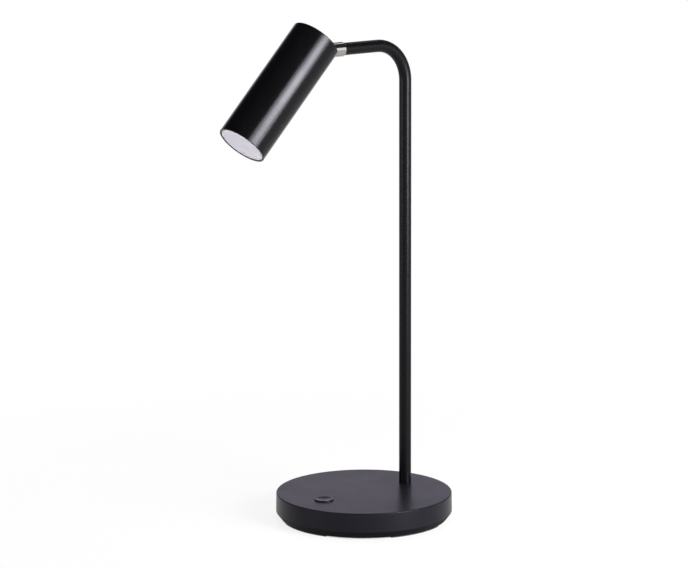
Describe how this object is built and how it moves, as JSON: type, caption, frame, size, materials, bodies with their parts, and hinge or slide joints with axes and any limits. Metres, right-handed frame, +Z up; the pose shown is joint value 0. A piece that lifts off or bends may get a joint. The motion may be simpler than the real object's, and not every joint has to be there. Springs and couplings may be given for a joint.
{
  "type": "led desk lamp",
  "caption": "Desk lamp with a round weighted base, a push button, a bent tube stem and a short cylindrical light head that turns and tilts on the end of the arm.",
  "frame": {"origin": "centre of the base, on the table plane that the foot ring stands on", "axes": "+Z up along the stem, -Y to the front where the button is and the head hangs, +X to the side, 1.5 degrees from the head's tilt pin"},
  "size_m": [0.1442, 0.2095, 0.4099],
  "materials": {
    "base_paint": "satin black powder coat",
    "tray_plastic": "fine matt texture",
    "foot_rubber": "matt",
    "ballast_steel": "plain zinc plated plate",
    "screw_steel": "zinc plated",
    "board_laminate": "solder mask",
    "component_black": "moulded",
    "button_black": "satin",
    "socket_steel": "bright plated",
    "lead_cover": "matt",
    "stem_paint": "satin black powder coat",
    "fitting_steel": "zinc plated",
    "bush_brass": "turned",
    "neck_paint": "satin black",
    "collar_nickel": "satin nickel plate",
    "head_paint": "satin black powder coat",
    "yoke_steel": "zinc plated",
    "washer_nylon": "moulded",
    "sink_aluminium": "extruded",
    "led_board_white": "white solder mask",
    "led_phosphor": "cast resin",
    "reflector_white": "moulded",
    "diffuser_opal": "satin opal"
  },
  "bodies": {
    "stand": {"base_shell": "base_paint", "base_tray": "tray_plastic", "foot_ring": "foot_rubber", "ballast_plate": "ballast_steel", "cover_screws": "screw_steel", "ballast_screws": "screw_steel", "control_board": "board_laminate", "board_components": "component_black", "inlet_board": "board_laminate", "board_screws": "screw_steel", "tact_switch": "component_black", "usb_socket": "socket_steel", "supply_lead": "lead_cover", "stem_tube": "stem_paint", "stem_nipple": "fitting_steel", "stem_washer": "fitting_steel", "stem_lock_washer": "fitting_steel", "stem_nut": "fitting_steel", "stem_lead": "lead_cover", "arm_bush": "bush_brass"},
    "button": {"power_button": "button_black", "switch_plunger": "component_black"},
    "neck": {"swivel_neck": "neck_paint", "swivel_collar": "collar_nickel", "wave_washer": "fitting_steel", "swivel_clip": "fitting_steel", "neck_lead": "lead_cover"},
    "head": {"head_shell": "head_paint", "tilt_yoke": "yoke_steel", "yoke_screws": "screw_steel", "tilt_pin": "fitting_steel", "tilt_nut": "fitting_steel", "tilt_washers": "washer_nylon", "heat_sink": "sink_aluminium", "led_board": "led_board_white", "led_screws": "screw_steel", "led_chips": "led_phosphor", "reflector": "reflector_white", "diffuser": "diffuser_opal", "head_lead": "lead_cover"}
  },
  "joints": [
    {"name": "button_press", "type": "slide", "parent": "stand", "child": "button", "axis": [0, 0, -1], "range_m": [0, 0.001], "stiffness_N_per_m": 1200, "springref_m": -0.0005},
    {"name": "head_turn", "type": "hinge", "parent": "stand", "child": "neck", "pos_m": [0, -0.0216, 0.3862], "axis": [0, -1, 0], "range_deg": [-168.5, 171.5]},
    {"name": "head_tilt", "type": "hinge", "parent": "neck", "child": "head", "pos_m": [0, -0.05843, 0.3862], "axis": [-0.9997, 0, 0.0262], "range_deg": [-43.5, 46.5]}
  ]
}
